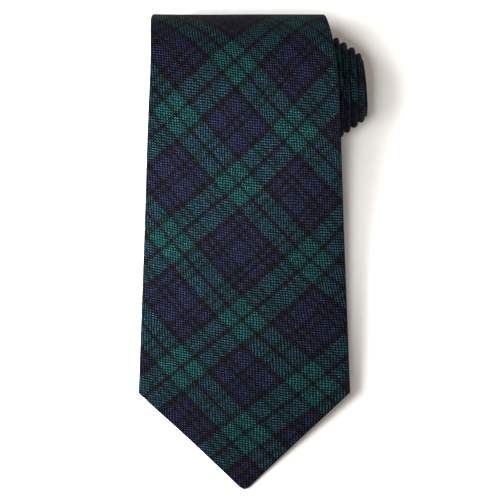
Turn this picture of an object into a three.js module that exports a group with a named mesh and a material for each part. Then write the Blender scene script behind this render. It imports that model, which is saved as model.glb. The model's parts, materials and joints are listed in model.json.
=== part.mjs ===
// A necktie wound into a roll from its narrow end, with the blade laid over the roll and its point on the
// table. Units are millimetres. X runs across the blade, -Y towards the point, and Z is up.
// The tie is one long envelope of cloth: a front layer whose sides fold round the interlining and meet at a
// seam down the middle of the back. Distances along the tie, called s here, start at the blade's point.
// "Depth" is measured from the front of the cloth towards its back.
import * as THREE from "three";

// ---- Driving dimensions ----

// The cloth and what it holds
const CLOTH = 0.35; // thickness of the tie cloth
const INTERLINING = 0.4; // thickness of the wool interlining
const TIPPING = 0.3; // thickness of the lining at each end
const PLY_GAP = 0.3; // between two layers of one turn
const TURN_GAP = 0.3; // between one turn of the roll and the next
const SEAM_GAP = 1.2; // between the two folded edges at the middle of the back
const SPLIT_GAP = 0.4; // between the blade and the roll, where the cloth bends
const PANEL_GAP = 0.3; // between two panels at a piecing seam

// The roll: half circles about two centres, one for the upper halves and one for the lower halves
const OUTER_RADIUS = 29.5; // front of the cloth, first half turn
const HALF_TURNS = 24;
const FACETS = 9; // flats in each half turn; an odd number puts one flat on the table
const NECK_STARTS_AT = 6; // half turns of the front panel
const TAIL_STARTS_AT = 11; // half turns of the front and neck panels

// The blade between the roll and its point
const SLOPE = THREE.MathUtils.degToRad(20); // of its straight stretch, which leaves the roll at a flat
const TIP_SLOPE = THREE.MathUtils.degToRad(10); // at the point
const TIP_ARC = 28; // length over which the slope eases from one to the other

// The outline: [distance from the point, value]
const POINT_LENGTH = 43;
const TAIL_POINT_LENGTH = 21;
const WIDTHS = [
  [43, 86.5],
  [80, 83.2],
  [110, 80.4],
  [162, 75.8],
  [220, 69.5],
  [330, 60],
  [480, 48],
  [620, 38.5],
  [760, 34.5],
  [1000, 33.5],
  [1200, 36],
  [1463, 42],
];
// How far right of the blade's centre line each turn's right edge lies: the inner turns stand out, as a cone
const RIGHT_EDGES = [
  [220, 34.75],
  [395, 34.6],
  [670, 35.5],
  [815, 37.8],
  [943, 41.9],
  [1060, 44.6],
  [1163, 46.2],
  [1255, 47.2],
  [1333, 48.2],
  [1399, 48.8],
  [1463, 49.1],
];
const LEAN = 0.12; // the turns lean left towards the back of the roll, in mm for each mm of Y
const LEAN_EASE = 50; // length over which the blade takes up that lean

// The back of each end
const HEM = 9.5; // width across X of the folded edge at the point
const GATE = 80; // where the folded edges meet, from the blade's point
const TAIL_GATE = 38; // the same, from the tail's point
const TIPPING_LENGTH = 94;
const TAIL_TIPPING_LENGTH = 40;
const DEPTH_EASE = 16; // length over which the envelope thins past the tipping

// What is sewn on the back of the blade
const TACK = { length: 9, width: 1.6, thickness: 0.5, fromGate: 2 };
const TAIL_TACK = { length: 6, width: 1.4, thickness: 0.5, fromGate: 1 };
const LABEL = { from: 112, to: 130, width: 44, thickness: 0.4 };
const KEEPER = { from: 137, to: 147, span: 50, sewn: 5, rise: 2.8, thickness: 0.7, steps: 8 };
const STITCH = { length: 1.2, thickness: 0.4, inset: 1, fromLabelEnd: 1.5, fromKeeperEnd: 2 };
const TAG = { from: 75, to: 93, left: 8, right: 20, thickness: 0.3 };
const REST_GAP = 0.3; // between a piece sewn on and what it lies on
const THREAD = 0.6; // width of the slip-stitch thread

// ---- Worked out from those ----

const PLAIN_DEPTH = 2 * CLOTH + 2 * PLY_GAP + INTERLINING;
const TIPPED_DEPTH = PLAIN_DEPTH + TIPPING + PLY_GAP;
const PITCH = PLAIN_DEPTH + TURN_GAP;
const STEP = Math.PI / FACETS;
const TO_CORNER = 1 / Math.cos(STEP / 2); // a flat touches its circle, so a corner lies outside it
const CENTRE_Z = OUTER_RADIUS - PITCH / 2; // puts the lowest flat on the table
const LEAVES_AT = Math.PI / 2 + SLOPE; // angle on the roll where the blade leaves it
const LEAVES = {
  y: OUTER_RADIUS * Math.cos(LEAVES_AT),
  z: CENTRE_Z + OUTER_RADIUS * Math.sin(LEAVES_AT),
};
const TIP_RADIUS = TIP_ARC / (SLOPE - TIP_SLOPE);
const TIP_Z = TIPPED_DEPTH * Math.cos(TIP_SLOPE);
const STRAIGHT =
  (LEAVES.z - TIP_Z - TIP_RADIUS * (Math.cos(TIP_SLOPE) - Math.cos(SLOPE))) / Math.sin(SLOPE);
const BLADE_LENGTH = TIP_ARC + STRAIGHT;
const TIP_Y =
  LEAVES.y - STRAIGHT * Math.cos(SLOPE) - TIP_RADIUS * (Math.sin(SLOPE) - Math.sin(TIP_SLOPE));

// ---- Curves along the tie ----

// A smooth curve through [s, value] points, level past both ends.
function through(points, s) {
  const last = points.length - 1;
  if (s <= points[0][0]) return points[0][1];
  if (s >= points[last][0]) return points[last][1];
  const i = points.findIndex(([at], k) => k < last && s < points[k + 1][0] && s >= at);
  const slope = (k) => {
    const [a, b] = [Math.max(k - 1, 0), Math.min(k + 1, last)];
    return (points[b][1] - points[a][1]) / (points[b][0] - points[a][0]);
  };
  const length = points[i + 1][0] - points[i][0];
  const t = (s - points[i][0]) / length;
  const [t2, t3] = [t * t, t * t * t];
  return (
    (2 * t3 - 3 * t2 + 1) * points[i][1] +
    (t3 - 2 * t2 + t) * length * slope(i) +
    (3 * t2 - 2 * t3) * points[i + 1][1] +
    (t3 - t2) * length * slope(i + 1)
  );
}

// A station is a place along the tie: s, the point at the middle of its front, and the step 1 mm deeper.
const station = (s, y, z, deeperY, deeperZ) => ({ s, y, z, deeperY, deeperZ });

function bladeStation(s) {
  const slope = s < TIP_ARC ? TIP_SLOPE + ((SLOPE - TIP_SLOPE) * s) / TIP_ARC : SLOPE;
  const straight = Math.max(0, s - TIP_ARC);
  const y =
    TIP_Y + TIP_RADIUS * (Math.sin(slope) - Math.sin(TIP_SLOPE)) + straight * Math.cos(SLOPE);
  const z =
    TIP_Z + TIP_RADIUS * (Math.cos(TIP_SLOPE) - Math.cos(slope)) + straight * Math.sin(SLOPE);
  return station(s, y, z, Math.sin(slope), -Math.cos(slope));
}

// The corners of the wound part, from where the blade leaves to the tail's point. Each has its half turn.
function rollStations() {
  const stations = [];
  let s = BLADE_LENGTH;
  for (let half = 0; half < HALF_TURNS; half++) {
    const radius = OUTER_RADIUS - (half * PITCH) / 2;
    const upper = half % 2 === 0;
    const centreY = upper ? 0 : PITCH / 2;
    const start = upper ? Math.PI : 0;
    const first = half === 0 ? LEAVES_AT : start;
    for (let k = 0; k < FACETS; k++) {
      const angle = start - k * STEP;
      if (angle > first) continue;
      const [c, d] = [Math.cos(angle), Math.sin(angle)];
      const corner = radius * TO_CORNER;
      const at = s + radius * (first - angle);
      stations.push({
        ...station(at, centreY + corner * c, CENTRE_Z + corner * d, -c * TO_CORNER, -d * TO_CORNER),
        half,
      });
    }
    s += radius * (first - (start - Math.PI));
  }
  const radius = OUTER_RADIUS - ((HALF_TURNS - 1) * PITCH) / 2;
  const end = station(s, PITCH / 2 - radius * TO_CORNER, CENTRE_Z, TO_CORNER, 0);
  stations.push({ ...end, half: HALF_TURNS });
  return stations;
}

const roll = rollStations();
const TIE_LENGTH = roll[roll.length - 1].s;
const BLADE_HALF = WIDTHS[0][1] / 2;
const TAIL_HALF = WIDTHS[WIDTHS.length - 1][1] / 2;

// The station a share t of the way from a to b, on the flat between them.
function between(a, b, t) {
  const mix = (key) => a[key] + (b[key] - a[key]) * t;
  return station(mix("s"), mix("y"), mix("z"), mix("deeperY"), mix("deeperZ"));
}

// The station that lies mm past a, towards b.
const past = (a, b, mm) => between(a, b, mm / Math.hypot(b.y - a.y, b.z - a.z));

// Half the tie's width at s, with both points.
function halfWidth(s) {
  const blade = (BLADE_HALF * s) / POINT_LENGTH;
  const tail = (TAIL_HALF * (TIE_LENGTH - s)) / TAIL_POINT_LENGTH;
  return Math.min(through(WIDTHS, s) / 2, blade, tail);
}

// X of the tie's centre line.
function centre({ s, y }) {
  if (s <= BLADE_LENGTH) return 0;
  const [from] = RIGHT_EDGES[0];
  const shift = s <= from ? 0 : through(RIGHT_EDGES, s) - through(WIDTHS, s) / 2;
  return shift - LEAN * y * THREE.MathUtils.smoothstep(s, BLADE_LENGTH, BLADE_LENGTH + LEAN_EASE);
}

// Depth of the envelope: more where it also holds a tipping.
function envelopeDepth(s) {
  const fromTail = TIE_LENGTH - s;
  const blade = 1 - THREE.MathUtils.smoothstep(s, TIPPING_LENGTH, TIPPING_LENGTH + DEPTH_EASE);
  const tail = 1 - THREE.MathUtils.smoothstep(fromTail, TAIL_TIPPING_LENGTH, TAIL_TIPPING_LENGTH + 3);
  return PLAIN_DEPTH + (TIPPED_DEPTH - PLAIN_DEPTH) * Math.max(blade, tail);
}

// How far from the centre line each side's folded edge stops, on the back.
function flapEdge(s) {
  const open = (from, corner, gate) => THREE.MathUtils.clamp((gate - from) / (gate - corner), 0, 1);
  const blade = open(s, POINT_LENGTH, GATE);
  const tail = open(TIE_LENGTH - s, TAIL_POINT_LENGTH, TAIL_GATE);
  return Math.max(SEAM_GAP / 2, Math.max(blade, tail) * (halfWidth(s) - HEM));
}

// ---- Solids ----

const place = (at, [x, depth]) => [
  centre(at) + x,
  at.y + at.deeperY * depth,
  at.z + at.deeperZ * depth,
];

// A closed solid through rings of points. A ring runs along one side of a strip and back along the other.
function loft(rings) {
  const count = rings[0].length;
  const index = (ring, i) => ring * count + (i % count);
  const triangles = [];
  const quad = (a, b, c, d) => triangles.push(a, b, c, a, c, d);
  for (let r = 0; r + 1 < rings.length; r++)
    for (let i = 0; i < count; i++)
      quad(index(r, i), index(r, i + 1), index(r + 1, i + 1), index(r + 1, i));
  const end = rings.length - 1;
  for (let i = 0; i < count / 2 - 1; i++) {
    const [a, b, c, d] = [i, i + 1, count - 2 - i, count - 1 - i];
    quad(index(0, d), index(0, c), index(0, b), index(0, a));
    quad(index(end, a), index(end, b), index(end, c), index(end, d));
  }
  const geometry = new THREE.BufferGeometry();
  geometry.setAttribute("position", new THREE.Float32BufferAttribute(rings.flat(2), 3));
  geometry.setIndex(signedVolume(rings.flat(), triangles) < 0 ? triangles.reverse() : triangles);
  geometry.computeVertexNormals();
  return geometry;
}

function signedVolume(points, triangles) {
  const [a, b, c] = [new THREE.Vector3(), new THREE.Vector3(), new THREE.Vector3()];
  let volume = 0;
  for (let i = 0; i < triangles.length; i += 3) {
    a.fromArray(points[triangles[i]]);
    b.fromArray(points[triangles[i + 1]]);
    c.fromArray(points[triangles[i + 2]]);
    volume += a.dot(b.cross(c)) / 6;
  }
  return volume;
}

// The folded cloth of the envelope: its front, its two sides and the two halves of its back.
function envelope(stations) {
  return loft(
    stations.map((at) => {
      const [a, edge, depth] = [halfWidth(at.s), flapEdge(at.s), envelopeDepth(at.s)];
      const inner = a - CLOTH;
      const [near, far] = [CLOTH, depth - CLOTH];
      const outer = [[-edge, depth], [-a, depth], [-a, 0], [a, 0], [a, depth], [edge, depth]];
      const inside = [[edge, far], [inner, far], [inner, near], [-inner, near], [-inner, far], [-edge, far]];
      return [...outer, ...inside].map((corner) => place(at, corner));
    }),
  );
}

// A flat strip between two depths; half(s) is half its width.
function strip(stations, half, near, far) {
  return loft(
    stations.map((at) => {
      const a = half(at.s);
      const [n, f] = [near(at.s), far(at.s)];
      return [[-a, n], [a, n], [a, f], [-a, f]].map((corner) => place(at, corner));
    }),
  );
}

// A flat piece on the back of the blade, between two values of s and two of x, off mm behind the cloth.
function backPatch(from, to, left, right, off, thickness) {
  return loft(
    [from, to].map((s) => {
      const near = envelopeDepth(s) + off;
      const corners = [[left, near], [right, near], [right, near + thickness], [left, near + thickness]];
      return corners.map((corner) => place(bladeStation(s), corner));
    }),
  );
}

function keeperLoop() {
  const { from, to, span, sewn, rise, thickness, steps } = KEEPER;
  const arch = span / 2 - sewn;
  const xs = Array.from({ length: steps + 1 }, (_, i) => -arch + (2 * arch * i) / steps);
  const profile = [-span / 2, ...xs, span / 2].map((x) => {
    const lift = Math.abs(x) < arch ? rise * Math.cos((Math.PI * x) / (2 * arch)) ** 0.7 : 0;
    return [x, PLAIN_DEPTH + REST_GAP + lift];
  });
  const back = profile.map(([x, depth]) => [x, depth + thickness]).reverse();
  return loft(
    [from, to].map((s) => [...profile, ...back].map((corner) => place(bladeStation(s), corner))),
  );
}

// ---- Stations of each piece ----

const BLADE_PLACES = [6, 10, 20, 30, POINT_LENGTH, 55, 68, GATE, 94, 99, 103, 107, 110, 123, 136, 150];
const bladeEnd = BLADE_LENGTH - SPLIT_GAP / 2;
const bladeFrom = (first, last) => {
  const inside = BLADE_PLACES.filter((s) => s > first && s < last);
  return [first, ...inside, last].map(bladeStation);
};
const rollFrom = (first, last) => {
  const inside = roll.filter(({ half }) => half >= first && half < last);
  const next = roll[roll.indexOf(inside[inside.length - 1]) + 1];
  const start =
    first === 0
      ? past(bladeStation(BLADE_LENGTH), inside[0], SPLIT_GAP / 2)
      : past(inside[0], inside[1], PANEL_GAP / 2);
  const end = last < HALF_TURNS ? past(next, inside[inside.length - 1], PANEL_GAP / 2) : next;
  return [start, ...inside.slice(first === 0 ? 0 : 1), end];
};
// The tail's last millimetres, which come to a point, end at a small blunt face.
const blunt = (stations, mm) => {
  const kept = stations.filter(({ s }) => s < TIE_LENGTH - mm - 0.5);
  const before = kept[kept.length - 1];
  const after = stations[kept.length];
  return [...kept, between(before, after, (TIE_LENGTH - mm - before.s) / (after.s - before.s))];
};

const lining = (s) => halfWidth(s) - CLOTH - REST_GAP;
const interliningNear = () => CLOTH + PLY_GAP;
const interliningFar = () => CLOTH + PLY_GAP + INTERLINING;
const tippingNear = () => CLOTH + 2 * PLY_GAP + INTERLINING;
const tippingFar = () => CLOTH + 2 * PLY_GAP + INTERLINING + TIPPING;

// ---- Finishes ----

const finish = (color, roughness) =>
  new THREE.MeshStandardMaterial({ color, roughness, metalness: 0 });
const tartan = finish(0x17343a, 0.9);
const canvas = finish(0xcfc8b8, 0.95);
const satin = finish(0x101a2c, 0.45);
const thread = finish(0x141c33, 0.7);
const ribbon = finish(0xe9e6de, 0.5);

// ---- Assembly ----

const tie = new THREE.Group();
function add(name, geometry, material) {
  const mesh = new THREE.Mesh(geometry, material);
  mesh.name = name;
  tie.add(mesh);
}

// The blade, which lifts off the table
add("front_panel_blade", envelope(bladeFrom(2, bladeEnd)), tartan);
add(
  "interlining_blade",
  strip(bladeFrom(5, bladeEnd), lining, interliningNear, interliningFar),
  canvas,
);
add(
  "blade_tipping",
  strip(bladeFrom(4, TIPPING_LENGTH - 2), lining, tippingNear, tippingFar),
  satin,
);
add(
  "slip_stitch_thread",
  strip(
    bladeFrom(GATE + 6, bladeEnd),
    () => THREAD / 2,
    (s) => envelopeDepth(s) - CLOTH,
    envelopeDepth,
  ),
  thread,
);
const tackAt = GATE + TACK.fromGate;
add(
  "blade_bar_tack",
  backPatch(tackAt, tackAt + TACK.width, -TACK.length / 2, TACK.length / 2, REST_GAP, TACK.thickness),
  thread,
);
const halfLabel = LABEL.width / 2;
add("label", backPatch(LABEL.from, LABEL.to, -halfLabel, halfLabel, REST_GAP, LABEL.thickness), satin);
add("keeper_loop", keeperLoop(), tartan);
// A row of stitches down one end of a piece sewn on: x is its distance from the middle of the back.
const stitchRow = ({ from, to, thickness }, x) =>
  backPatch(
    from + STITCH.inset,
    to - STITCH.inset,
    x - STITCH.length / 2,
    x + STITCH.length / 2,
    2 * REST_GAP + thickness,
    STITCH.thickness,
  );
for (const [side, sign] of [["left", -1], ["right", 1]]) {
  add(`label_stitch_${side}`, stitchRow(LABEL, sign * (halfLabel - STITCH.fromLabelEnd)), thread);
  add(`keeper_stitch_${side}`, stitchRow(KEEPER, sign * (KEEPER.span / 2 - STITCH.fromKeeperEnd)), thread);
}
add("care_tag", backPatch(TAG.from, TAG.to, TAG.left, TAG.right, REST_GAP, TAG.thickness), ribbon);

// The roll
add("front_panel_roll", envelope(rollFrom(0, NECK_STARTS_AT)), tartan);
add("neck_panel", envelope(rollFrom(NECK_STARTS_AT, TAIL_STARTS_AT)), tartan);
add("tail_panel", envelope(blunt(rollFrom(TAIL_STARTS_AT, HALF_TURNS), 2)), tartan);
add(
  "interlining_roll",
  strip(blunt(rollFrom(0, HALF_TURNS), 5), lining, interliningNear, interliningFar),
  canvas,
);
const tailEnd = blunt(rollFrom(TAIL_STARTS_AT, HALF_TURNS), 4);
const tailTipping = tailEnd.filter(({ s }) => s > TIE_LENGTH - TAIL_TIPPING_LENGTH + 1);
add("tail_tipping", strip(tailTipping, lining, tippingNear, tippingFar), satin);
const tailTackNear = tailEnd.findLast(({ s }) => s < TIE_LENGTH - TAIL_GATE - TAIL_TACK.fromGate);
const tailTackFar = past(tailTackNear, tailEnd[tailEnd.indexOf(tailTackNear) + 1], TAIL_TACK.width);
add(
  "tail_bar_tack",
  strip(
    [tailTackNear, tailTackFar],
    () => TAIL_TACK.length / 2,
    (s) => envelopeDepth(s) + REST_GAP,
    (s) => envelopeDepth(s) + REST_GAP + TAIL_TACK.thickness,
  ),
  thread,
);

// The origin is under the middle of the whole tie, on the table.
const box = new THREE.Box3().setFromObject(tie);
tie.position.set(-(box.min.x + box.max.x) / 2, -(box.min.y + box.max.y) / 2, 0);

export default tie;
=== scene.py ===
"""Looks for a necktie that is rolled up from its narrow end, with its pointed blade lying over the roll.

Lengths are in millimetres until a mesh is made, and the model is in metres. "s" is the distance along the tie
from the blade's point, "x" is across it, and "depth" is how far behind the front of the cloth.
"""

import json
import math

import bpy
import numpy as np
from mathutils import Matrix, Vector


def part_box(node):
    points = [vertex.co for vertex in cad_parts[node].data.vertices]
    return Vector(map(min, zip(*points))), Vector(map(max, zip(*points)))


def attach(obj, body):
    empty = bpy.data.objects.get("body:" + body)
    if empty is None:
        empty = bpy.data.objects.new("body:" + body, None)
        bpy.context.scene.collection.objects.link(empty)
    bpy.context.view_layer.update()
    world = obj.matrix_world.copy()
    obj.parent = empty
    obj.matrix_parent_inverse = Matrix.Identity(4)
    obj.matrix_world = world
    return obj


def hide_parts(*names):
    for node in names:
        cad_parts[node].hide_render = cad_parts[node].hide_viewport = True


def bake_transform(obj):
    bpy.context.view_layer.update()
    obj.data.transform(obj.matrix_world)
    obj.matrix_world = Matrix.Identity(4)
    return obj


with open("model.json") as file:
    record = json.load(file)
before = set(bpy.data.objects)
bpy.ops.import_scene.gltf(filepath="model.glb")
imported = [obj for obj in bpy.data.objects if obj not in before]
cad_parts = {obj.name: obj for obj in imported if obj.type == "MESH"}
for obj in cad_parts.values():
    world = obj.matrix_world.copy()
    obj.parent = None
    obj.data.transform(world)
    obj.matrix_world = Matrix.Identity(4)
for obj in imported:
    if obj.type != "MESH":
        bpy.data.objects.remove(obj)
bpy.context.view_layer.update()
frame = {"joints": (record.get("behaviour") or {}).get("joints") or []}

MM = 0.001

# ---- The tie's shape, with the CAD model's own dimensions ----

PITCH = 2.0  # from one turn of the roll to the next
PLAIN_DEPTH = 1.7  # of the folded envelope
TIPPED_DEPTH = 2.3  # of the envelope where it also holds a lining
OUTER_RADIUS = 29.5
HALF_TURNS = 24
NECK_STARTS_AT = 6
TAIL_STARTS_AT = 11
PANEL_GAP = 0.3
CENTRE_Z = OUTER_RADIUS - PITCH / 2
SLOPE = math.radians(20)
TIP_SLOPE = math.radians(10)
TIP_ARC = 28
POINT_LENGTH = 43
TAIL_POINT_LENGTH = 21
GATE = 80  # where the two folded edges meet behind the blade
TAIL_GATE = 38
HEM = 9.5
TIPPING_LENGTH = 94
TAIL_TIPPING_LENGTH = 40
TIPPING_EASE = 16  # over which the envelope thins past its lining
TAIL_TIPPING_EASE = 3
# The tie's width at distances from the blade's point
WIDTHS = np.array(
    [
        [43, 86.5],
        [80, 83.2],
        [110, 80.4],
        [162, 75.8],
        [220, 69.5],
        [330, 60],
        [480, 48],
        [620, 38.5],
        [760, 34.5],
        [1000, 33.5],
        [1200, 36],
        [1463, 42],
    ]
)

# What the looks change from the CAD model. The whole stays within half a millimetre of its box.
TIP_ROUND = 3.2  # radius that the blade's point is rounded to
SEAM_GAP = 0.2  # between the folded edges at the middle of the back
LEAN = 0.08  # how far the turns lean to the right, for each mm towards the point
LEAN_EASE = 50
RIGHT_DROOP = 6.0
LEFT_DROOP = 2.4
DROOP_POWER = 2.2  # the higher, the closer the sag keeps to the sides
DROOP_RISES = (25, 70)  # where along the blade the sag starts, and over what length it grows
DROOP_FADES = (105, 50)
SWELL_SHARE = 0.28  # how much an edge bulges, for each mm of it that shows
SWELL_LIMIT = 0.9
SWELL_POWER = 0.7
SWELL_STARTS = (560, 60)
CROWN = 1.6  # how much the blade's front swells between its folded edges
CROWN_RISES = 40
CROWN_FADES = (140, 30)
# Where the turns' right edges lie, grouped into soft lobes
RIGHT_EDGES = np.array(
    [
        [220, 34.75],
        [395, 34.6],
        [670, 34.8],
        [815, 36.6],
        [943, 39.2],
        [1060, 42.0],
        [1163, 45.2],
        [1255, 47.9],
        [1333, 48.8],
        [1399, 49.0],
        [1463, 49.1],
    ]
)

LEAVES_AT = math.pi / 2 + SLOPE
LEAVES_Y = OUTER_RADIUS * math.cos(LEAVES_AT)
LEAVES_Z = CENTRE_Z + OUTER_RADIUS * math.sin(LEAVES_AT)
TIP_RADIUS = TIP_ARC / (SLOPE - TIP_SLOPE)
TIP_Z = TIPPED_DEPTH * math.cos(TIP_SLOPE)
STRAIGHT = (LEAVES_Z - TIP_Z - TIP_RADIUS * (math.cos(TIP_SLOPE) - math.cos(SLOPE))) / math.sin(SLOPE)
BLADE_LENGTH = TIP_ARC + STRAIGHT
TIP_Y = LEAVES_Y - STRAIGHT * math.cos(SLOPE) - TIP_RADIUS * (math.sin(SLOPE) - math.sin(TIP_SLOPE))



def turned(half, first_angle):
    """The angle that a half turn runs through. Upper and lower halves end on opposite sides of the roll."""
    return first_angle - (0.0 if half % 2 == 0 else -math.pi)


def half_turns():
    """Each half turn's start along the tie, radius, centre Y and first angle, and where the tie ends."""
    halves, start = [], BLADE_LENGTH
    for half in range(HALF_TURNS):
        radius = OUTER_RADIUS - half * PITCH / 2
        upper = half % 2 == 0
        angle = LEAVES_AT if half == 0 else (math.pi if upper else 0.0)
        halves.append((start, radius, 0.0 if upper else PITCH / 2, angle))
        start += radius * turned(half, angle)
    return halves, start


HALVES, TIE_LENGTH = half_turns()

# The hinge in the record lies where the blade leaves the roll; the blade's own pieces give its centre line.
hinge = Vector(frame["joints"][0]["pos_m"])
seam_low, seam_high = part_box("slip_stitch_thread")
SHIFT = np.array([(seam_low.x + seam_high.x) / 2 / MM, hinge.y / MM - LEAVES_Y, 0.0])


def smooth(t):
    t = np.clip(t, 0, 1)
    return t * t * (3 - 2 * t)


def through(points, s):
    """A smooth curve through [s, value] points, level past both ends."""
    xs, ys = points[:, 0], points[:, 1]
    slopes = np.gradient(ys, xs)
    s = np.clip(s, xs[0], xs[-1])
    i = np.clip(np.searchsorted(xs, s, side="right") - 1, 0, len(xs) - 2)
    length = xs[i + 1] - xs[i]
    t = (s - xs[i]) / length
    return (
        (2 * t**3 - 3 * t**2 + 1) * ys[i]
        + (t**3 - 2 * t**2 + t) * length * slopes[i]
        + (3 * t**2 - 2 * t**3) * ys[i + 1]
        + (t**3 - t**2) * length * slopes[i + 1]
    )


def path(s):
    """Y and Z of the front of the cloth at s, and the step that goes 1 mm deeper."""
    s = np.asarray(s, float)
    slope = np.where(s < TIP_ARC, TIP_SLOPE + (SLOPE - TIP_SLOPE) * s / TIP_ARC, SLOPE)
    straight = np.maximum(0, s - TIP_ARC)
    y = TIP_Y + TIP_RADIUS * (np.sin(slope) - math.sin(TIP_SLOPE)) + straight * math.cos(SLOPE)
    z = TIP_Z + TIP_RADIUS * (math.cos(TIP_SLOPE) - np.cos(slope)) + straight * math.sin(SLOPE)
    dy, dz = np.sin(slope), -np.cos(slope)
    for start, radius, centre_y, first in HALVES:
        on = s >= start
        angle = first - (s - start) / radius
        c, d = np.cos(angle), np.sin(angle)
        y = np.where(on, centre_y + radius * c, y)
        z = np.where(on, CENTRE_Z + radius * d, z)
        dy = np.where(on, -c, dy)
        dz = np.where(on, -d, dz)
    return y, z, dy, dz


def half_width(s):
    """Half the tie's width at s, with a rounded point at the blade and a sharp one at the tail."""
    blade = WIDTHS[0, 1] / 2 * s / POINT_LENGTH
    round_tip = np.sqrt(np.maximum(TIP_ROUND**2 - (s - TIP_ROUND * math.sqrt(2)) ** 2, 1e-4))
    blade = np.where(s < TIP_ROUND / math.sqrt(2), round_tip, blade)
    tail = WIDTHS[-1, 1] / 2 * (TIE_LENGTH - s) / TAIL_POINT_LENGTH
    return np.minimum(through(WIDTHS, s) / 2, np.minimum(blade, tail))


def centre(s, y):
    """X of the tie's middle line: the wound turns are set by where their right edges lie."""
    shift = np.where(s <= RIGHT_EDGES[0, 0], 0, through(RIGHT_EDGES, s) - through(WIDTHS, s) / 2)
    return shift - LEAN * y * smooth((s - BLADE_LENGTH) / LEAN_EASE)


def envelope_depth(s):
    blade = 1 - smooth((s - TIPPING_LENGTH) / TIPPING_EASE)
    tail = 1 - smooth((TIE_LENGTH - s - TAIL_TIPPING_LENGTH) / TAIL_TIPPING_EASE)
    return PLAIN_DEPTH + (TIPPED_DEPTH - PLAIN_DEPTH) * np.maximum(blade, tail)


def flap_edge(s):
    """How far from the middle of the back the folded edges lie. They open towards each point."""
    blade = np.clip((GATE - s) / (GATE - POINT_LENGTH), 0, 1)
    tail = np.clip((TAIL_GATE - TIE_LENGTH + s) / (TAIL_GATE - TAIL_POINT_LENGTH), 0, 1)
    return np.maximum(SEAM_GAP / 2, np.maximum(blade, tail) * (half_width(s) - HEM))


def droop(s, x):
    """How far the sides of the blade sag, where it spans from the roll to the table, in mm."""
    rising = smooth((s - DROOP_RISES[0]) / DROOP_RISES[1])
    span = rising * (1 - smooth((s - DROOP_FADES[0]) / DROOP_FADES[1]))
    share = np.clip(x / np.maximum(half_width(s), 1), -1, 1)
    return span * np.where(x > 0, RIGHT_DROOP, LEFT_DROOP) * np.abs(share) ** DROOP_POWER


TURN_STARTS = np.array([start for start, *_ in HALVES])
TURN_RADII = np.array([radius for _, radius, *_ in HALVES])


def swell(s, x, depth):
    """How far a turn's right edge bulges where it comes out from under the turn outside it, in mm."""
    radius = np.interp(s, TURN_STARTS, TURN_RADII)
    outside = s - 2 * math.pi * (radius + PITCH / 2)
    showing = through(RIGHT_EDGES, s) - through(RIGHT_EDGES, outside)
    free = np.maximum(showing - 0.2, 0.01)
    t = np.clip((x - half_width(s)) / free + 1, 0, 1)
    share = np.clip(1 - depth / envelope_depth(s), 0, 1)
    bulge = np.minimum(SWELL_SHARE * free, SWELL_LIMIT) * np.sin(math.pi * t) ** SWELL_POWER
    return bulge * share * smooth((s - SWELL_STARTS[0]) / SWELL_STARTS[1])


def place(s, x, depth):
    """Points of the tie in the row frame, in metres. The three arguments broadcast together."""
    s, x, depth = np.broadcast_arrays(s, x, depth)
    y, z, dy, dz = path(s)
    depth = depth + droop(s, x)
    points = np.stack([centre(s, y) + x, y + dy * depth, z + dz * depth], -1)
    return (points + SHIFT) * MM


def flat_place(x, s):
    """UVs: where the cloth lay before it was folded, in metres."""
    return np.stack(np.broadcast_arrays(x, s), -1) * MM


# ---- Meshes ----


def object_from(name, points, faces, uv=None, normals=None):
    mesh = bpy.data.meshes.new(name)
    mesh.from_pydata(points.tolist(), [], faces)
    if uv is not None:
        layer = mesh.uv_layers.new(name="cloth")
        loops = np.zeros(len(mesh.loops), np.int32)
        mesh.loops.foreach_get("vertex_index", loops)
        layer.data.foreach_set("uv", np.asarray(uv, np.float32)[loops].ravel())
    mesh.polygons.foreach_set("use_smooth", [True] * len(mesh.polygons))
    if normals is not None:
        mesh.normals_split_custom_set_from_vertices(normals.tolist())
    mesh.update()
    piece = bpy.data.objects.new(name, mesh)
    bpy.context.scene.collection.objects.link(piece)
    return piece


def loft(name, rings, uv):
    """A closed piece through rings of points. A ring runs along one face of a strip and back along the other.
    The first and last rings only give the slope of the surface at its ends, and aren't part of it."""
    along = rings[2:] - rings[:-2]
    around = np.roll(rings, -1, 1) - np.roll(rings, 1, 1)
    normals = np.cross(around[1:-1], along)
    normals /= np.maximum(np.linalg.norm(normals, axis=2, keepdims=True), 1e-12)
    rings, uv = rings[1:-1], uv[1:-1]
    count, n = rings.shape[:2]
    faces = []
    for r in range(count - 1):
        for i in range(n):
            j = (i + 1) % n
            faces.append((r * n + i, r * n + j, (r + 1) * n + j, (r + 1) * n + i))
    last = (count - 1) * n
    for i in range(n // 2 - 1):
        a, b, c, d = i, i + 1, n - 2 - i, n - 1 - i
        faces.append((d, c, b, a))
        faces.append((last + a, last + b, last + c, last + d))
    points = rings.reshape(-1, 3)
    if volume(points, faces) < 0:
        faces = [f[::-1] for f in faces]
        normals = -normals
    return object_from(name, points, faces, uv.reshape(-1, 2), normals.reshape(-1, 3))


def volume(points, faces):
    quads = points[np.array(faces)]
    a, b, c, d = (quads[:, k] for k in range(4))
    triple = np.einsum("ij,ij->i", a, np.cross(b, c)) + np.einsum("ij,ij->i", a, np.cross(c, d))
    return triple.sum() / 6


CLOTH = 0.45  # thickness of one layer
EDGE_ZONE = 4.6  # beside the right edge, where the cloth needs a closer mesh
EDGE_POINTS = 14


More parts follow.
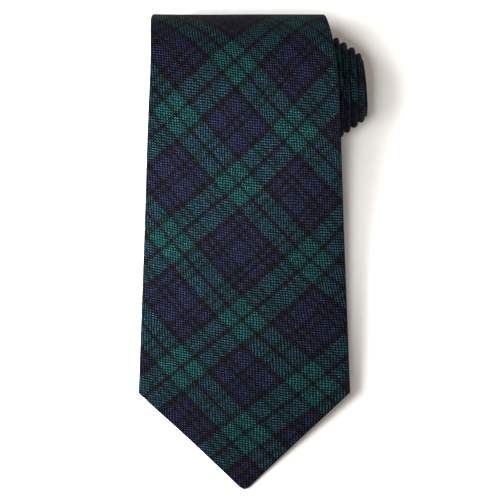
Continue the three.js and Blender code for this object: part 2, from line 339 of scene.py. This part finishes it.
def section(s, cloth, front, fold, flap):
    """x, depth and flat position across the cloth, of the envelope's ring of points at each s."""
    s = s[:, None]
    a, depth, edge = half_width(s), envelope_depth(s), flap_edge(s)
    radius = np.minimum(depth / 2, 0.8 * a)
    turn = math.pi / 2 * (radius + depth / 2)
    level = a - radius
    edge = np.minimum(edge, 0.9 * level)
    crown = CROWN * (1 - smooth((s - CROWN_FADES[0]) / CROWN_FADES[1])) * smooth(s / CROWN_RISES)

    def face(inset):
        across = np.linspace(1, 0, flap, endpoint=False)[None]
        flap_x = edge + (level - edge) * (1 - across)
        angle = np.linspace(0, math.pi, fold + 2)[None, 1:-1]
        fold_x = level + (radius - inset) * np.sin(angle)
        fold_depth = depth / 2 + (depth / 2 - inset) * np.cos(angle)
        fold_u = level + turn * (1 - angle / math.pi)
        zone = np.minimum(EDGE_ZONE, level)
        even = np.linspace(-level, level - zone, front)[:, :, 0].T
        near_edge = np.linspace(level - zone, level, EDGE_POINTS)[1:, :, 0].T
        front_x = np.concatenate([even, near_edge], 1)
        share = front_x / level
        front_depth = inset - crown * (1 - share**2) + 0 * level
        flap_depth = depth - inset + 0 * flap_x
        flap_u = 2 * level + turn - flap_x
        x = np.concatenate([-flap_x, -fold_x, front_x, fold_x[:, ::-1], flap_x[:, ::-1]], 1)
        d = np.concatenate([flap_depth, fold_depth, front_depth, fold_depth[:, ::-1], flap_depth], 1)
        u = np.concatenate([-flap_u, -fold_u, front_x, fold_u[:, ::-1], flap_u[:, ::-1]], 1)
        return x, d, u

    outer, inner = face(0), face(cloth)
    return [np.concatenate([o, i[:, ::-1]], 1) for o, i in zip(outer, inner)]


def steps(first, last, mm):
    """Evenly spaced stations from first to last, about mm apart."""
    count = max(2, round((last - first) / mm))
    return np.linspace(first, last, count + 1)


def with_ends(s):
    """The stations with one more beyond each end, which loft takes the end slopes from."""
    return np.concatenate([[2 * s[0] - s[1]], s, [2 * s[-1] - s[-2]]])


def ripple(s, x):
    """The slight unevenness of pressed wool, in mm."""
    return 0.12 * np.sin(s / 7.3 + 1.7 * np.sin(x / 13)) + 0.1 * np.sin(x / 8.1 + s / 17 + 2)


def creep(u, s):
    """How far bias-cut cloth has crept from where it was cut, in mm across the tie and along it."""
    near_point = smooth((115 - s) / 60)
    over_roll = smooth((s - 140) / 45)
    across = u * np.where(u > 0, 0.16 * near_point - 0.09 * over_roll, 0.05 * near_point)
    along = 1.8 * smooth(u / 30) * smooth((s - 105) / 30)
    return across, along


def envelope(name, s, offset, front=24, fold=7, flap=9):
    """A stretch of the folded envelope, and its flat width, length and area in metres."""
    s = with_ends(s)
    x, depth, u = section(s, CLOTH, front, fold, flap)
    at = s[:, None]
    lie = ripple(at, x) * smooth(at / 30)
    points = place(at, x, depth + lie - swell(at, x, depth))
    across, along = creep(u, at)
    uv = flat_place(u - across + offset[0], at - along + offset[1])
    piece = loft(name, points, uv)
    width = u.max(1) - u.min(1)
    area = float(np.trapz(width[1:-1], s[1:-1]))
    return piece, (float(width.max()) * MM, float(s[-2] - s[1]) * MM, area * MM * MM)


def strip(name, s, half, near, far, across=14):
    """A flat sheet between two depths. half, near and far give mm at each s."""
    s = with_ends(s)
    at = s[:, None]
    share = np.linspace(-1, 1, across)[None]
    x = np.concatenate([half(at) * share, half(at) * share[:, ::-1]], 1)
    depth = np.concatenate([near(at) + 0 * share, far(at) + 0 * share], 1)
    points = place(at, x, depth + ripple(at, x) * smooth(at / 30))
    uv = flat_place(x, at)
    piece = loft(name, points, uv)
    area = float(np.trapz(2 * half(s[1:-1]), s[1:-1]))
    flat = (float(2 * half(s[1:-1]).max()) * MM, float(s[-2] - s[1]) * MM, area * MM * MM)
    return piece, flat


def tube(lines, radius, sides=6):
    """Points, faces and UVs of threads along polylines, given in metres."""
    points, faces, uvs = [], [], []
    for line in lines:
        line = np.asarray(line, float)
        tangent = np.gradient(line, axis=0)
        tangent /= np.linalg.norm(tangent, axis=1, keepdims=True)
        up = np.array([0.13, 0.21, 0.97])
        side = np.cross(tangent, up)
        side /= np.linalg.norm(side, axis=1, keepdims=True)
        over = np.cross(side, tangent)
        taper = np.ones(len(line))
        taper[[0, -1]] = 0.45
        base = len(points)
        run = np.concatenate([[0], np.cumsum(np.linalg.norm(np.diff(line, axis=0), axis=1))])
        for k in range(len(line)):
            for i in range(sides):
                angle = 2 * math.pi * i / sides
                r = radius * taper[k]
                points.append(line[k] + r * (math.cos(angle) * side[k] + math.sin(angle) * over[k]))
                uvs.append((i / sides * 2 * math.pi * radius, run[k]))
        for k in range(len(line) - 1):
            for i in range(sides):
                j = (i + 1) % sides
                a, b = base + k * sides, base + (k + 1) * sides
                faces.append((a + i, a + j, b + j, b + i))
        first, last = base, base + (len(line) - 1) * sides
        faces.append(tuple(first + i for i in reversed(range(sides))))
        faces.append(tuple(last + i for i in range(sides)))
    return np.array(points), faces, np.array(uvs)


def threads(name, lines, radius):
    points, faces, uvs = tube(lines, radius * MM)
    return object_from(name, points, faces, uvs)


def stitch(start, end, rise, count=7):
    """A thread from one (s, x, depth) on the tie to another, standing off by rise at its middle."""
    t = np.linspace(0, 1, count)
    s = start[0] + (end[0] - start[0]) * t
    x = start[1] + (end[1] - start[1]) * t
    depth = start[2] + (end[2] - start[2]) * t + rise * np.sin(math.pi * t)
    return place(s, x, depth)


# ---- Materials ----


class Nodes:
    """Short names for building a material's node tree."""

    def __init__(self, name):
        self.material = bpy.data.materials.new(name)
        self.material.use_nodes = True
        self.tree = self.material.node_tree
        self.shader = self.tree.nodes["Principled BSDF"]

    def put(self, socket, value):
        if isinstance(value, bpy.types.NodeSocket):
            self.tree.links.new(value, socket)
        else:
            socket.default_value = value

    def math(self, operation, *values):
        node = self.tree.nodes.new("ShaderNodeMath")
        node.operation = operation
        for socket, value in zip(node.inputs, values):
            self.put(socket, value)
        return node.outputs[0]

    def mix(self, share, a, b, blend="MIX"):
        node = self.tree.nodes.new("ShaderNodeMix")
        node.data_type = "RGBA"
        node.blend_type = blend
        self.put(node.inputs["Factor"], share)
        self.put(node.inputs[6], a)
        self.put(node.inputs[7], b)
        return node.outputs[2]

    def between(self, share, a, b):
        node = self.tree.nodes.new("ShaderNodeMix")
        self.put(node.inputs["Factor"], share)
        self.put(node.inputs[2], a)
        self.put(node.inputs[3], b)
        return node.outputs[0]

    def vector(self, x, y, z=0.0):
        node = self.tree.nodes.new("ShaderNodeCombineXYZ")
        for socket, value in zip(node.inputs, (x, y, z)):
            self.put(socket, value)
        return node.outputs[0]

    def noise(self, vector, scale, detail=2.0, roughness=0.5):
        node = self.tree.nodes.new("ShaderNodeTexNoise")
        self.put(node.inputs["Vector"], vector)
        node.inputs["Scale"].default_value = scale
        node.inputs["Detail"].default_value = detail
        node.inputs["Roughness"].default_value = roughness
        return node.outputs["Fac"]

    def random(self, vector):
        node = self.tree.nodes.new("ShaderNodeTexWhiteNoise")
        self.put(node.inputs["Vector"], vector)
        return node.outputs["Value"]

    def flat(self):
        """u and v of the cloth laid flat, in metres."""
        node = self.tree.nodes.new("ShaderNodeUVMap")
        node.uv_map = "cloth"
        split = self.tree.nodes.new("ShaderNodeSeparateXYZ")
        self.tree.links.new(node.outputs["UV"], split.inputs[0])
        return split.outputs["X"], split.outputs["Y"]

    def grey(self, value):
        """A brightness factor as a colour."""
        node = self.tree.nodes.new("ShaderNodeCombineColor")
        for socket in node.inputs:
            self.put(socket, value)
        return node.outputs[0]

    def bump(self, height, distance, strength=1.0):
        node = self.tree.nodes.new("ShaderNodeBump")
        node.inputs["Strength"].default_value = strength
        node.inputs["Distance"].default_value = distance
        self.put(node.inputs["Height"], height)
        self.tree.links.new(node.outputs["Normal"], self.shader.inputs["Normal"])

    def finish(self, color, roughness, sheen=0.0, specular=0.3):
        self.put(self.shader.inputs["Base Color"], color)
        self.put(self.shader.inputs["Roughness"], roughness)
        self.put(self.shader.inputs["Specular IOR Level"], specular)
        self.put(self.shader.inputs["Sheen Weight"], sheen)
        self.put(self.shader.inputs["Sheen Roughness"], 0.4)
        return self.material


def plain_weave(n, p, q):
    """At each crossing: 1 where a p thread is on top, its height, and the p and q threads' numbers."""
    p_thread, q_thread = n.math("FLOOR", p), n.math("FLOOR", q)
    p_part, q_part = n.math("SUBTRACT", p, p_thread), n.math("SUBTRACT", q, q_thread)
    odd = n.math("FLOORED_MODULO", n.math("ADD", p_thread, q_thread), 2.0)
    across = n.between(odd, q_part, p_part)
    along = n.between(odd, p_part, q_part)
    from_middle = n.math("ABSOLUTE", n.math("MULTIPLY_ADD", across, 2.0, -1.0))
    round_part = n.math("SUBTRACT", 1.0, n.math("POWER", from_middle, 2.4))
    over = n.math("SINE", n.math("MULTIPLY", along, math.pi))
    height = n.math("MULTIPLY", round_part, n.math("POWER", over, 0.7))
    return odd, height, p_thread, q_thread


# Threads of each colour in one repeat of the tartan
SETT = "G8 K2 G8 K3 N3 K2 N2 K2 N11 K2 N2 K2 N3 K3 G8 K2 G8 K3 N8 K2 N2 K2 N8 K3"
# Each yarn's colour, and how bright it leaves a thread that crosses over it: a black thread beneath is
# painted as shade on the thread above
YARNS = {
    "G": (0.0050, 0.0378, 0.0396, 1),
    "N": (0.0082, 0.0110, 0.0303, 1),
    "K": (0.0070, 0.0052, 0.0064, 0.6),
}
P_PITCH, Q_PITCH = 0.686 * MM, 0.82 * MM
P_RISES = math.radians(42.4)  # the way that p grows, from the blade's right
Q_FALLS = math.radians(-49.6)
WANDER = 0.8 * MM  # how far threads stray from where they were woven
CROSSING = (-2.3 * MM, 134.0 * MM)  # where two black lines meet inside green bands


def tartan():
    n = Nodes("tartan")
    u, v = n.flat()
    x = n.math("SUBTRACT", u, CROSSING[0])
    y = n.math("SUBTRACT", v, CROSSING[1])
    for_x = n.noise(n.vector(u, v), 230, 3)
    for_y = n.noise(n.vector(v, u), 230, 3)
    x = n.math("ADD", x, n.math("MULTIPLY_ADD", for_x, WANDER, -WANDER / 2))
    y = n.math("ADD", y, n.math("MULTIPLY_ADD", for_y, WANDER, -WANDER / 2))
    a, b = P_RISES, Q_FALLS
    size = math.cos(a) * math.sin(b) - math.sin(a) * math.cos(b)
    p = n.math(
        "ADD",
        n.math("MULTIPLY", x, math.sin(b) / size / P_PITCH),
        n.math("MULTIPLY", y, -math.cos(b) / size / P_PITCH),
    )
    q = n.math(
        "ADD",
        n.math("MULTIPLY", x, -math.sin(a) / size / Q_PITCH),
        n.math("MULTIPLY", y, math.cos(a) / size / Q_PITCH),
    )
    stripes = [(part[0], int(part[1:])) for part in SETT.split()]
    total = sum(count for _, count in stripes)
    first_line = stripes[0][1] + stripes[1][1] / 2  # the black line that the crossing lies on
    second_line = sum(c for _, c in stripes[:14]) + stripes[14][1] + stripes[15][1] / 2
    # Along -p and +q from the crossing comes the wider of the two navy checks.
    p_from = n.math("ADD", p, second_line)
    q_from = n.math("ADD", q, first_line)
    odd, height, p_thread, q_thread = plain_weave(n, p_from, q_from)

    def yarn(thread):
        share = n.math("DIVIDE", n.math("FLOORED_MODULO", n.math("ADD", thread, 0.5), total), total)
        ramp = n.tree.nodes.new("ShaderNodeValToRGB")
        ramp.color_ramp.interpolation = "CONSTANT"
        n.put(ramp.inputs["Fac"], share)
        at = 0
        for k, (name, count) in enumerate(stripes):
            stops = ramp.color_ramp.elements
            stop = stops[k] if k < 2 else stops.new(at / total)
            stop.position = at / total
            stop.color = YARNS[name]
            at += count
        return ramp.outputs["Color"], ramp.outputs["Alpha"]

    (p_color, p_painted_shade), (q_color, q_painted_shade) = yarn(p_thread), yarn(q_thread)
    color = n.mix(odd, q_color, p_color)
    thread = n.between(odd, q_thread, p_thread)
    # Yarn is spun from fibres of slightly different shades, and no two threads are quite the same thickness.
    shade = n.random(n.vector(thread, odd))
    crossing = n.random(n.vector(p_thread, q_thread))
    fibre = n.noise(n.vector(u, v), 2200, 2, 0.6)
    cloud = n.noise(n.vector(u, v), 60, 3)
    # Every other corner between four crossings is painted bright and the corners between those black, the
    # brightness fading towards the middle of each q thread: painted light and shade on the weave, which the
    # bump also takes as relief.
    corner_sign = n.math(
        "MULTIPLY",
        n.math("COSINE", n.math("MULTIPLY", p_from, math.pi)),
        n.math("COSINE", n.math("MULTIPLY", q_from, math.pi)),
    )
    corner_light_and_shade = n.math("POWER", n.math("MULTIPLY_ADD", corner_sign, 0.49, 0.51), 2.4)
    furrow = n.math("MULTIPLY_ADD", n.math("COSINE", n.math("MULTIPLY", q_from, 2 * math.pi)), 0.5, 0.62)
    corner_light_and_shade = n.math("MULTIPLY", corner_light_and_shade, furrow)
    # Thread crowns are painted lighter and their sides darker: painted light and shade on the weave's relief.
    bright = n.math("MULTIPLY_ADD", height, 0.5, 0.75)
    # Painted light and shade at the weave's corners.
    bright = n.math("MULTIPLY", bright, n.math("MULTIPLY", corner_light_and_shade, 3.15))
    bright = n.math("MULTIPLY", bright, n.math("MULTIPLY_ADD", shade, 0.24, 0.88))
    bright = n.math("MULTIPLY", bright, n.math("MULTIPLY_ADD", crossing, 0.9, 0.55))
    bright = n.math("MULTIPLY", bright, n.math("MULTIPLY_ADD", fibre, 3.2, -0.6))
    bright = n.math("MULTIPLY", bright, n.math("MULTIPLY_ADD", cloud, 0.3, 0.85))
    # A thread that lies over a black one is painted darker: painted shade from the dark thread beneath.
    bright = n.math("MULTIPLY", bright, n.between(odd, p_painted_shade, q_painted_shade))
    color = n.mix(1.0, color, n.grey(bright), "MULTIPLY")
    relief = n.math("ADD", height, n.math("MULTIPLY", fibre, 0.35))
    n.bump(n.math("ADD", relief, n.math("MULTIPLY", corner_light_and_shade, 0.9)), 0.16 * MM, 0.9)
    rough = n.math("MULTIPLY_ADD", fibre, 0.15, 0.8)
    return n.finish(color, rough, specular=0.06)


def canvas():
    n = Nodes("canvas")
    u, v = n.flat()
    _, height, *_ = plain_weave(n, n.math("DIVIDE", u, 0.9 * MM), n.math("DIVIDE", v, 0.8 * MM))
    fuzz = n.noise(n.vector(u, v), 1800, 4, 0.7)
    # The weave's hollows are painted darker than its crowns: painted shade on the canvas's relief.
    color = n.mix(height, (0.42, 0.38, 0.31, 1), (0.72, 0.68, 0.6, 1))
    color = n.mix(n.math("MULTIPLY", fuzz, 0.5), color, (0.8, 0.77, 0.7, 1))
    n.bump(n.math("ADD", height, fuzz), 0.2 * MM, 0.8)
    return n.finish(color, n.math("MULTIPLY_ADD", fuzz, 0.1, 0.85), sheen=0.2)


def satin(name, dark, light, pitch=0.16 * MM):
    n = Nodes(name)
    u, v = n.flat()
    ribs = n.math("SINE", n.math("MULTIPLY", u, 2 * math.pi / pitch))
    floats = n.noise(n.vector(n.math("MULTIPLY", u, 6.0), v), 500, 2)
    cloud = n.noise(n.vector(u, v), 70, 3)
    uneven = n.math("MULTIPLY_ADD", floats, 0.5, n.math("MULTIPLY", cloud, 0.4))
    # Rib crests are painted lighter and the hollows between them darker: painted shade on the ribs. The
    # floats and the cloud vary the tone at random.
    share = n.math("MULTIPLY_ADD", ribs, 0.15, uneven)
    color = n.mix(share, dark, light)
    n.bump(n.math("ADD", n.math("MULTIPLY", ribs, 0.4), floats), 0.06 * MM, 0.6)
    return n.finish(color, n.math("MULTIPLY_ADD", floats, 0.15, 0.45), specular=0.1)


def sewing_thread():
    n = Nodes("sewing_thread")
    u, v = n.flat()
    slant = n.math("ADD", n.math("MULTIPLY", u, 1.2), v)
    twist = n.math("SINE", n.math("MULTIPLY", slant, 2 * math.pi / (0.5 * MM)))
    fuzz = n.noise(n.vector(u, v), 2500, 2)
    # The crests of the twist are painted lighter and its grooves darker: painted shade along the thread.
    color = n.mix(n.math("MULTIPLY_ADD", twist, 0.4, 0.5), (0.012, 0.016, 0.045, 1), (0.05, 0.065, 0.15, 1))
    n.bump(n.math("ADD", twist, fuzz), 0.05 * MM, 0.7)
    return n.finish(color, n.math("MULTIPLY_ADD", fuzz, 0.2, 0.6), specular=0.12)


def table_top():
    n = Nodes("table_top")
    coordinates = n.tree.nodes.new("ShaderNodeTexCoord")
    grain = n.noise(coordinates.outputs["Object"], 400, 3)
    color = n.mix(grain, (0.93, 0.915, 0.9, 1), (0.96, 0.95, 0.94, 1))
    return n.finish(color, 0.9, specular=0.0)


TARTAN = tartan()
CANVAS = canvas()
SATIN = satin("satin_lining", (0.006, 0.010, 0.022, 1), (0.022, 0.034, 0.075, 1))
LABEL_SATIN = satin("label_weave", (0.008, 0.012, 0.02, 1), (0.05, 0.06, 0.09, 1), 0.3 * MM)
RIBBON = satin("white_ribbon", (0.62, 0.6, 0.56, 1), (0.86, 0.85, 0.82, 1), 0.25 * MM)
THREAD = sewing_thread()


def dress(piece, material, slot, *nodes):
    piece.data.materials.append(material)
    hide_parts(*nodes)
    return piece


# ---- Pieces ----

ROLL_SIDE = 8  # how far past the hinge the blade's piece reaches
cut = BLADE_LENGTH + ROLL_SIDE


def turns(first, last, degrees=5.0):
    """Stations through half turns first to last, closer together where the roll is tighter."""
    s = []
    for half in range(first, last):
        start, radius, _, angle = HALVES[half]
        length = radius * turned(half, angle)
        s.append(start + np.arange(0, length - 0.3, radius * math.radians(degrees)))
    end = HALVES[last][0] if last < HALF_TURNS else TIE_LENGTH
    return np.concatenate([*s, [end]])


# The front panel: the blade, and a short stretch past the hinge
tip_s = np.array([1.33, 1.36, 1.42, 1.52, 1.66, 1.84, 2.05, 2.3, 2.7, 3.3])
near_bend = np.arange(132, cut, 1.0)
blade_s = np.concatenate([tip_s, np.arange(4, 46, 1.0), np.arange(46, 132, 2.0), near_bend, [cut]])
front_panel, front_flat = envelope("front_panel", blade_s, (0, 0))
dress(front_panel, TARTAN, "tartan", "front_panel_blade")
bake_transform(front_panel)

# The rest of the front panel, and the neck and tail panels, wound up
outer_turns = turns(0, NECK_STARTS_AT)
wound_s = np.concatenate([[cut], outer_turns[outer_turns > cut + 0.5]])
wound_s[-1] -= PANEL_GAP / 2
front_wound, wound_flat = envelope("front_panel_wound", wound_s, (0, 0))
dress(front_wound, TARTAN, "tartan", "front_panel_roll")
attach(front_wound, "roll")

neck_s = turns(NECK_STARTS_AT, TAIL_STARTS_AT)
neck_s[0] += PANEL_GAP / 2
neck_s[-1] -= PANEL_GAP / 2
neck, neck_flat = envelope("neck_panel_cloth", neck_s, (13, 32), front=14, flap=5)
dress(neck, TARTAN, "tartan", "neck_panel")
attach(neck, "roll")

tail_s = turns(TAIL_STARTS_AT, HALF_TURNS, 6.0)
tail_s[0] += PANEL_GAP / 2
tail_s[-1] -= 1.4
tail, tail_flat = envelope("tail_panel_cloth", tail_s, (-9, 50), front=14, flap=5)
dress(tail, TARTAN, "tartan", "tail_panel")
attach(tail, "roll")

# The interlining inside, from point to point
NEAR, FAR = CLOTH + 0.15, PLAIN_DEPTH - CLOTH - 0.15


def inside(s):
    return np.maximum(half_width(s) - CLOTH - 0.5, 0.3)


def level(value):
    return lambda s: value + 0 * s


lining_s = np.concatenate([np.arange(5, 132, 3.0), np.arange(132, cut, 1.5), [cut]])
interlining, interlining_flat = strip("interlining", lining_s, inside, level(NEAR), level(FAR))
dress(interlining, CANVAS, "canvas", "interlining_blade")
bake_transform(interlining)

all_turns = turns(0, HALF_TURNS, 7.5)
inner_end = TIE_LENGTH - 5
inner_s = np.concatenate([[cut], all_turns[(all_turns > cut + 0.5) & (all_turns < inner_end)], [inner_end]])
inner, inner_flat = strip("interlining_wound", inner_s, inside, level(NEAR), level(FAR), across=6)
dress(inner, CANVAS, "canvas", "interlining_roll")
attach(inner, "roll")

# The satin at each end
tip_near, tip_far = level(PLAIN_DEPTH - CLOTH - 0.02), level(PLAIN_DEPTH - CLOTH + 0.26)
tipping_s = steps(4, TIPPING_LENGTH - 2, 2)
tipping, tipping_flat = strip("blade_tipping_cloth", tipping_s, inside, tip_near, tip_far, 24)
dress(tipping, SATIN, "satin", "blade_tipping")
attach(tipping, "blade")

tail_tip_s = steps(TIE_LENGTH - TAIL_TIPPING_LENGTH + 1, TIE_LENGTH - 4, 0.8)
tail_tipping, tail_tip_flat = strip("tail_tipping_cloth", tail_tip_s, inside, tip_near, tip_far, 12)
dress(tail_tipping, SATIN, "satin", "tail_tipping")
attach(tail_tipping, "roll")


# What is sewn on the back of the blade
OFF_CLOTH = 0.3  # how far a sewn piece lies off the cloth
LABEL_THICKNESS = 0.35


def label_near(s):
    return envelope_depth(s) + OFF_CLOTH


def label_far(s):
    return envelope_depth(s) + OFF_CLOTH + LABEL_THICKNESS


label, _ = strip("label_cloth", steps(112, 130, 1.5), level(22), label_near, label_far, 24)
dress(label, LABEL_SATIN, "satin", "label")
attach(label, "blade")

tag_s = with_ends(steps(75, 93, 1.5))[:, None]
share = np.linspace(-1, 1, 12)[None]
tag_x = 14 + np.concatenate([6 * share, 6 * share[:, ::-1]], 1)
tag_depth = envelope_depth(tag_s) + OFF_CLOTH + np.concatenate([0 * share, 0 * share + 0.25], 1)
tag = loft("care_tag_ribbon", place(tag_s, tag_x, tag_depth), flat_place(tag_x, tag_s))
dress(tag, RIBBON, "ribbon", "care_tag")
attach(tag, "blade")

KEEPER_RISE = 2.8
KEEPER_THICKNESS = 0.7
left_end, right_end = np.linspace(-25, -20, 5)[:-1], np.linspace(20, 25, 5)[1:]
keeper_x = np.concatenate([left_end, np.linspace(-20, 20, 33), right_end])
arch = np.maximum(np.cos(math.pi * keeper_x / 40), 0) ** 0.7
lift = np.where(np.abs(keeper_x) < 20, KEEPER_RISE * arch, 0)
keeper_s = with_ends(steps(137, 147, 1))[:, None]
ring_x = np.concatenate([keeper_x, keeper_x[::-1]])[None]
round_off = 0.25 * np.abs((keeper_s - 142) / 5) ** 4
ring_depth = PLAIN_DEPTH + OFF_CLOTH + np.concatenate([lift, lift[::-1] + KEEPER_THICKNESS])[None]
inwards = np.concatenate([1 + 0 * lift, -1 + 0 * lift])[None]
ring_depth = ring_depth + inwards * np.minimum(round_off, 0.25)
keeper_uv = flat_place(ring_x + 40, keeper_s + 60)
keeper = loft("keeper_loop_cloth", place(keeper_s, ring_x, ring_depth), keeper_uv)
dress(keeper, TARTAN, "tartan", "keeper_loop")
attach(keeper, "blade")

# Threads
def slip_point(s, x):
    return s, x, float(envelope_depth(s)) - 0.05


slip = []
for k, s in enumerate(np.arange(87, 160, 5.5)):
    side = 1 if k % 2 else -1
    slip.append(stitch(slip_point(s, -side * 1.1), slip_point(s + 3.6, side * 1.1), 0.28))
slip_stitch = threads("slip_stitches", slip, 0.16)
dress(slip_stitch, THREAD, "thread", "slip_stitch_thread")
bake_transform(slip_stitch)


def tack(name, s, half, length, off, strands):
    """A bar tack: strands side by side across the seam, bound by short turns round them."""
    lines = []
    base = float(envelope_depth(s)) + off
    for k in range(strands):
        at = s + length * (k + 0.5) / strands
        lines.append(stitch((at, -half, base), (at, half, base), 0.3, 13))
    for x in np.linspace(-half + 0.5, half - 0.5, round(half * 4)):
        lines.append(stitch((s - 0.1, x, base), (s + length + 0.1, x + 0.35, base), 0.55, 9))
    return threads(name, lines, 0.14)


blade_tack = tack("blade_tack", 82, 4.4, 1.6, 0.2, 5)
dress(blade_tack, THREAD, "thread", "blade_bar_tack")
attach(blade_tack, "blade")
tail_tack = tack("tail_tack", TIE_LENGTH - TAIL_GATE - 2.6, 2.9, 1.2, 0.15, 4)
dress(tail_tack, THREAD, "thread", "tail_bar_tack")
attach(tail_tack, "roll")


def row_of_stitches(name, x, first, last, base, *nodes):
    """Short stitches in a row along the tie, at x and at the depth that base gives."""
    lines = []
    for s in np.arange(first, last, 2.0):
        lines.append(stitch((s, x, base(s)), (s + 1.5, x, base(s + 1.5)), 0.15))
    piece = threads(name, lines, 0.13)
    dress(piece, THREAD, "thread", *nodes)
    return piece


def over_label(s):
    return float(label_far(s)) + 0.02


def over_keeper(s):
    return PLAIN_DEPTH + OFF_CLOTH + KEEPER_THICKNESS + 0.02


label_stitches = [
    row_of_stitches("label_stitches_left", -20.5, 113, 129, over_label, "label_stitch_left"),
    row_of_stitches("label_stitches_right", 20.5, 113, 129, over_label, "label_stitch_right"),
]
keeper_stitches = [
    row_of_stitches("keeper_stitches_left", -23, 138, 146, over_keeper, "keeper_stitch_left"),
    row_of_stitches("keeper_stitches_right", 23, 138, 146, over_keeper, "keeper_stitch_right"),
]
for row in label_stitches + keeper_stitches:
    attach(row, "blade")

# ---- Floor, light and camera ----

bpy.ops.mesh.primitive_grid_add(x_subdivisions=8, y_subdivisions=8, size=6)
floor = bpy.context.object
floor.name = "floor"
floor.data.materials.append(table_top())


def add_light(name, lamp, power, color, place, target):
    lamp.energy = power
    lamp.color = color
    lit = bpy.data.objects.new(name, lamp)
    lit.location = place
    lit.rotation_mode = "QUATERNION"
    lit.rotation_quaternion = (Vector(place) - Vector(target)).to_track_quat("Z", "Y")
    lit.visible_camera = False
    bpy.context.scene.collection.objects.link(lit)


DAYLIGHT = (0.97, 0.99, 1.0)
KEY_HEIGHT = math.radians(66)  # above the table, from the left
key = bpy.data.lights.new("key_light", "SUN")
key.angle = math.radians(19)
key_place = (-math.cos(KEY_HEIGHT), 0, math.sin(KEY_HEIGHT))
add_light("key_light", key, 2.7, DAYLIGHT, key_place, (0, 0, 0))

# A lamp on the left brings out the weave, and a small one overhead brightens the roll.
side = bpy.data.lights.new("side_light", "AREA")
side.shape = "RECTANGLE"
side.size = 0.10
side.size_y = 0.08
side.spread = math.radians(80)
add_light("side_light", side, 0.46, DAYLIGHT, (-0.22, -0.03, 0.25), (-0.08, -0.02, 0.02))
top = bpy.data.lights.new("top_light", "AREA")
top.shape = "DISK"
top.size = 0.05
top.spread = math.radians(40)
add_light("top_light", top, 0.05, DAYLIGHT, (0.0, 0.04, 0.30), (-0.008, 0.032, 0.045))

world = bpy.data.worlds.new("studio")
world.use_nodes = True
sky = world.node_tree.nodes["Background"]
sky.inputs["Color"].default_value = (1.0, 0.88, 0.77, 1)
sky.inputs["Strength"].default_value = 0.42
bpy.context.scene.world = world
bpy.context.scene.view_settings.view_transform = "Standard"

# Straight above the tie, as the photograph was taken
CAMERA_HEIGHT = 1.2
camera_data = bpy.data.cameras.new("camera")
camera_data.sensor_width = 36
camera_data.lens = 209
camera = bpy.data.objects.new("camera", camera_data)
camera.location = (SHIFT[0] * MM + 0.0023, 0.0019, CAMERA_HEIGHT)
bpy.context.scene.collection.objects.link(camera)
bpy.context.scene.camera = camera
